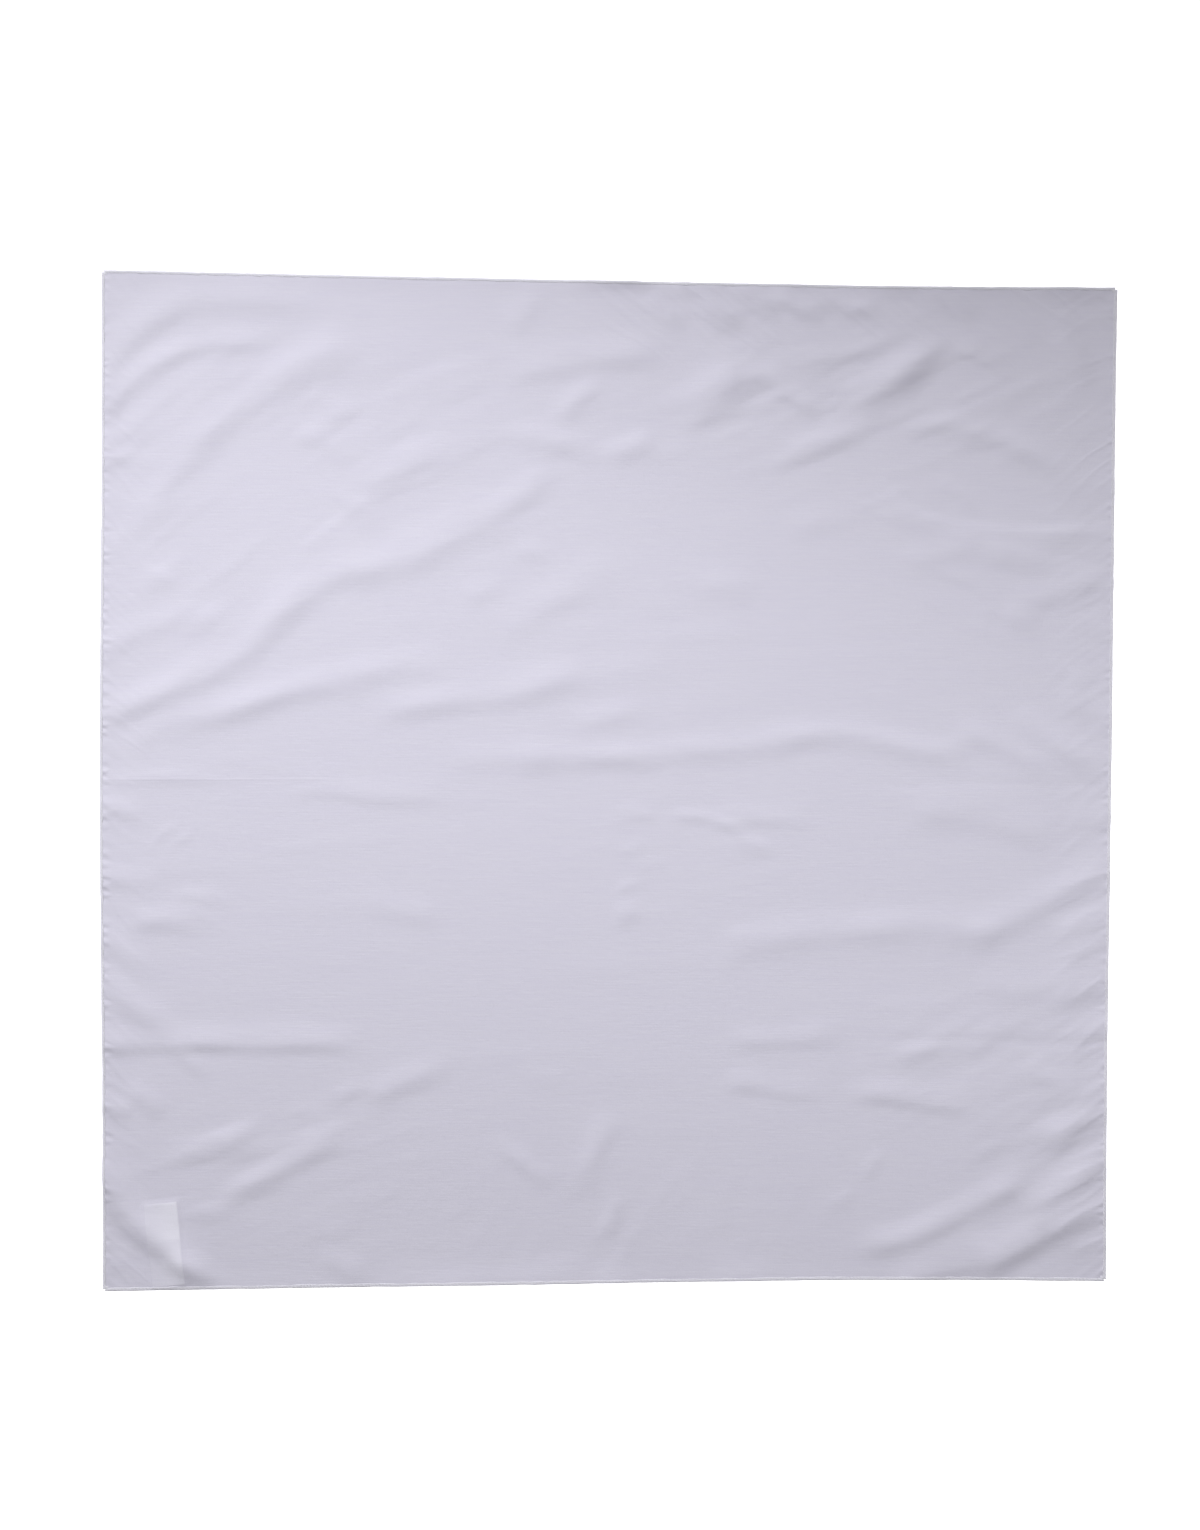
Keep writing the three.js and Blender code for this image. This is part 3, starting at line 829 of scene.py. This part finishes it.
def makeSheet():
    across, up = np.meshgrid(crowded(cloth["columns"]), crowded(cloth["rows"]))
    across, up = across.ravel(), up.ravel()
    x, y = planPoint(across, up, cloth["tuck"])
    inward = np.minimum(np.minimum(across, 1 - across), np.minimum(up, 1 - up)) * outline["side"]
    atEdge = 1 - blendEdge(0, cloth["edgeBand"], inward)
    rest = cloth["rest"] + (cloth["edgeRest"] - cloth["rest"]) * atEdge
    points = np.stack([x, y, clothHeight(x, y) + rest], axis=1)
    return makePiece("stoleSheet", points, gridFaces(cloth["rows"], cloth["columns"]), cottonPaint)


stoleSheet = makeSheet()
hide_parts("stole_cloth")
print("cloth laid:", len(stoleSheet.data.polygons), "faces")

hem = {
    "spacing": 1.6,
    "cornerRounding": 2.2,
    # the rolled hem's section: how far inside the outline, how high over the table
    "section": (
        (3.3, 0.62), (3.0, 0.80), (2.5, 0.84), (2.0, 0.96), (1.4, 1.02), (0.8, 0.94),
        (0.25, 0.70), (0.0, 0.42), (0.35, 0.18), (1.2, 0.05), (2.4, 0.06), (3.0, 0.3),
    ),
    "rollWide": 3.2,
    "margin": 0.35,  # how far the roll stays inside the outline
    "narrowing": 0.9,
    "wobble": 0.22,
    "wobbleLength": 11.0,
    "swelling": 0.12,
    "swellingLength": 7.0,
    "seeds": (6, 5),
}


def rimStations(spacing):
    # points all round the rim, counterclockwise from the bottom left corner
    count = int(outline["side"] / spacing)
    run = np.arange(count) / count
    fixed = np.zeros(count)
    across = np.concatenate([run, fixed + 1, 1 - run, fixed])
    up = np.concatenate([fixed, run, fixed + 1, 1 - run])
    share = np.tile(run, 4)
    return across, up, np.minimum(share, 1 - share) * outline["side"]


def hemSurface(across, up, fromCorner, inset, high):
    # a point of the hem, with the sheet's heights under it
    x, y = planPoint(across, up, 0.0)
    wobbleSeed, swellingSeed = hem["seeds"]
    drawn = hem["wobble"] * softNoise(x, y, hem["wobbleLength"], wobbleSeed)
    swell = 1 + hem["swelling"] * softNoise(x, y, hem["swellingLength"], swellingSeed)
    radius = hem["cornerRounding"]
    rounding = np.clip(radius - fromCorner, 0, radius)
    cut = radius - np.sqrt(radius**2 - rounding**2)
    outer = hem["margin"] + cut + drawn * (1 - inset / hem["rollWide"])
    x, y = planPoint(across, up, np.maximum(outer + inset * swell * hem["narrowing"], 0.0))
    return x, y, clothHeight(x, y) + high * swell


def makeHem():
    across, up, fromCorner = rimStations(hem["spacing"])
    rings = [
        np.stack(hemSurface(across, up, fromCorner, inset, high), axis=1)
        for inset, high in hem["section"]
    ]
    points = np.stack(rings, axis=1).reshape(-1, 3)
    faces = gridFaces(len(across), len(rings), closedRows=True, closedColumns=True)
    return makePiece("rolledHem", points, [face[::-1] for face in faces], hemPaint)


rolledHem = makeHem()
print("hem rolled:", len(rolledHem.data.polygons), "faces")

stitch = {
    "pitch": 3.1,
    "length": 2.5,
    "threadRadius": 0.17,
    "inset": 2.45,
    "seamHigh": 0.86,
    "cornerGap": 4.0,
    "sides": 6,
    # a stitch from end to end: share of its length, share of its thickness, height over the seam
    "profile": (
        (0.0, 0.35, -0.14), (0.12, 0.9, 0.02), (0.5, 1.0, 0.10), (0.88, 0.9, 0.02), (1.0, 0.35, -0.14),
    ),
}


def tubeThrough(centres, radii, sides):
    # one small closed thread through a few points
    centres = np.asarray(centres)
    run = centres[-1] - centres[0]
    run = run / np.linalg.norm(run)
    sideways = np.cross(run, (0, 0, 1))
    sideways = sideways / np.linalg.norm(sideways)
    upwards = np.cross(sideways, run)
    turns = np.arange(sides) * 2 * np.pi / sides
    ring = np.cos(turns)[:, None] * sideways + np.sin(turns)[:, None] * upwards
    points = (centres[:, None, :] + np.asarray(radii)[:, None, None] * ring[None]).reshape(-1, 3)
    faces = gridFaces(len(centres), sides, closedColumns=True)
    last = (len(centres) - 1) * sides
    return points, [*faces, list(range(sides))[::-1], [last + corner for corner in range(sides)]]


def joinParts(parts):
    points, faces, first = [], [], 0
    for partPoints, partFaces in parts:
        points.append(partPoints)
        faces += [[first + corner for corner in face] for face in partFaces]
        first += len(partPoints)
    return np.concatenate(points), faces


def makeStitches():
    across, up, fromCorner = rimStations(stitch["pitch"])
    keep = fromCorner > stitch["cornerGap"]
    across, up, fromCorner = across[keep], up[keep], fromCorner[keep]
    step = stitch["length"] / outline["side"]
    sideways = np.where((up == 0) | (up == 1), 1, 0)
    centres = []
    for share, _, high in stitch["profile"]:
        shift = (share - 0.5) * step
        alongX, alongY = across + shift * sideways, up + shift * (1 - sideways)
        x, y, z = hemSurface(alongX, alongY, fromCorner, stitch["inset"], stitch["seamHigh"])
        centres.append(np.stack([x, y, z + high], axis=1))
    centres = np.stack(centres, axis=1)
    radii = [stitch["threadRadius"] * share for _, share, _ in stitch["profile"]]
    return joinParts([tubeThrough(line, radii, stitch["sides"]) for line in centres])


hemStitches = makePiece("hemStitches", *makeStitches(), threadPaint)
print("hem stitched:", len(hemStitches.data.polygons), "faces")


def makeLabel():
    along, across = np.meshgrid(
        np.linspace(-0.5, 0.5, label["rows"]),
        np.linspace(-0.5, 0.5, label["columns"]),
        indexing="ij",
    )
    localX, localY = across.ravel() * label["width"], along.ravel() * label["length"]
    x, y = turned(localX, localY, -label["turn"])
    slantX, slantY = label["slantLengths"]
    ripple = label["ripple"] * np.sin(localY / label["rippleLength"])
    ripple = ripple + label["slantRipple"] * np.sin(localX / slantX + localY / slantY)
    points = np.stack([x + label["middle"][0], y + label["middle"][1], label["rest"] + ripple], axis=1)
    return makePiece("careLabel", points, gridFaces(label["rows"], label["columns"]), labelPaint)


careLabel = makeLabel()
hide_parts("care_label")
print("label sewn in")

# Three soft lights: a far key low over the top left corner draws the folds, a broad one over the left
# half gives the fall of tone towards the top right, and a weak one fills in from the right
studio = {
    "ground": 9.0,
    "groundColour": (0.90, 0.90, 0.91, 1.0),
    "groundRoughness": 0.9,
    "groundGlow": 0.95,
    "sky": (0.146, 0.146, 0.146, 1.0),
    "key": {
        "aim": (0.0, 0.0, 0.0), "far": 7.0, "rise": 30.0, "turn": 40.0,
        "cone": 40.0, "power": 697.0, "size": 0.5,
    },
    "broad": {
        "aim": (-0.23, -0.26, 0.0), "far": 2.2, "rise": 50.0, "turn": 19.0,
        "cone": 60.0, "power": 110.0, "size": 0.2,
    },
    "fill": {"at": (0.9, 0.0, 0.8), "aim": (0.1, 0.0, 0.0), "power": 3.1, "size": 0.6},
}


def aimed(thing, target):
    thing.rotation_euler = (Vector(target) - thing.location).to_track_quat("-Z", "Y").to_euler()


def makeSpot(name, lamp):
    rise, turn = math.radians(lamp["rise"]), math.radians(lamp["turn"])
    towards = Vector((-math.sin(turn) * math.cos(rise), math.cos(turn) * math.cos(rise), math.sin(rise)))
    light = bpy.data.lights.new(name, "SPOT")
    light.energy = lamp["power"]
    light.spot_size = math.radians(lamp["cone"])
    light.spot_blend = 1.0
    light.shadow_soft_size = lamp["size"]
    spot = bpy.data.objects.new(name, light)
    spot.location = Vector(lamp["aim"]) + towards * lamp["far"]
    aimed(spot, lamp["aim"])
    return spot


def makeFill(name, lamp):
    light = bpy.data.lights.new(name, "AREA")
    light.energy = lamp["power"]
    light.size = lamp["size"]
    fill = bpy.data.objects.new(name, light)
    fill.location = lamp["at"]
    aimed(fill, lamp["aim"])
    return fill


def makeStudio():
    half = studio["ground"] / 2
    corners = [(-half, -half, 0), (half, -half, 0), (half, half, 0), (-half, half, 0)]
    mesh = bpy.data.meshes.new("studioGround")
    mesh.from_pydata(corners, [], [(0, 1, 2, 3)])
    ground = bpy.data.objects.new("studioGround", mesh)
    bpy.context.scene.collection.objects.link(ground)
    paint = Paint("studioWhite")
    paint.feed(studio["groundColour"], studio["groundRoughness"])
    paint.constant(
        Emission_Color=(1.0, 1.0, 1.0, 1.0),
        Emission_Strength=studio["groundGlow"],
        Specular_IOR_Level=0.1,
    )
    mesh.materials.append(paint.material)
    ground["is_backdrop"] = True
    world = bpy.data.worlds.new("studioAir")
    world.use_nodes = True
    world.node_tree.nodes["Background"].inputs["Color"].default_value = studio["sky"]
    bpy.context.scene.world = world
    lights = [
        makeSpot("keyLight", studio["key"]),
        makeSpot("broadLight", studio["broad"]),
        makeFill("fillLight", studio["fill"]),
    ]
    for light in lights:
        bpy.context.scene.collection.objects.link(light)
        light.visible_camera = False


makeStudio()

photoCamera = {
    "middle": (-0.0076, 0.01385),
    "frameHigh": 1.3694,  # how much of the table the picture's height takes in, in metres
    "lens": 85.0,
    "sensor": 36.0,
}


def makeCamera():
    camera = bpy.data.cameras.new("photoCamera")
    camera.lens = photoCamera["lens"]
    camera.sensor_width = photoCamera["sensor"]
    eye = bpy.data.objects.new("photoCamera", camera)
    away = photoCamera["frameHigh"] * photoCamera["lens"] / photoCamera["sensor"]
    eye.location = (*photoCamera["middle"], away)
    bpy.context.scene.collection.objects.link(eye)
    bpy.context.scene.camera = eye
    bpy.context.scene.view_settings.view_transform = "Standard"


makeCamera()
print("studio lit")

boxes = {"cad": [list(corner) for corner in cadBox], "visual": [list(corner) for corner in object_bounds()]}
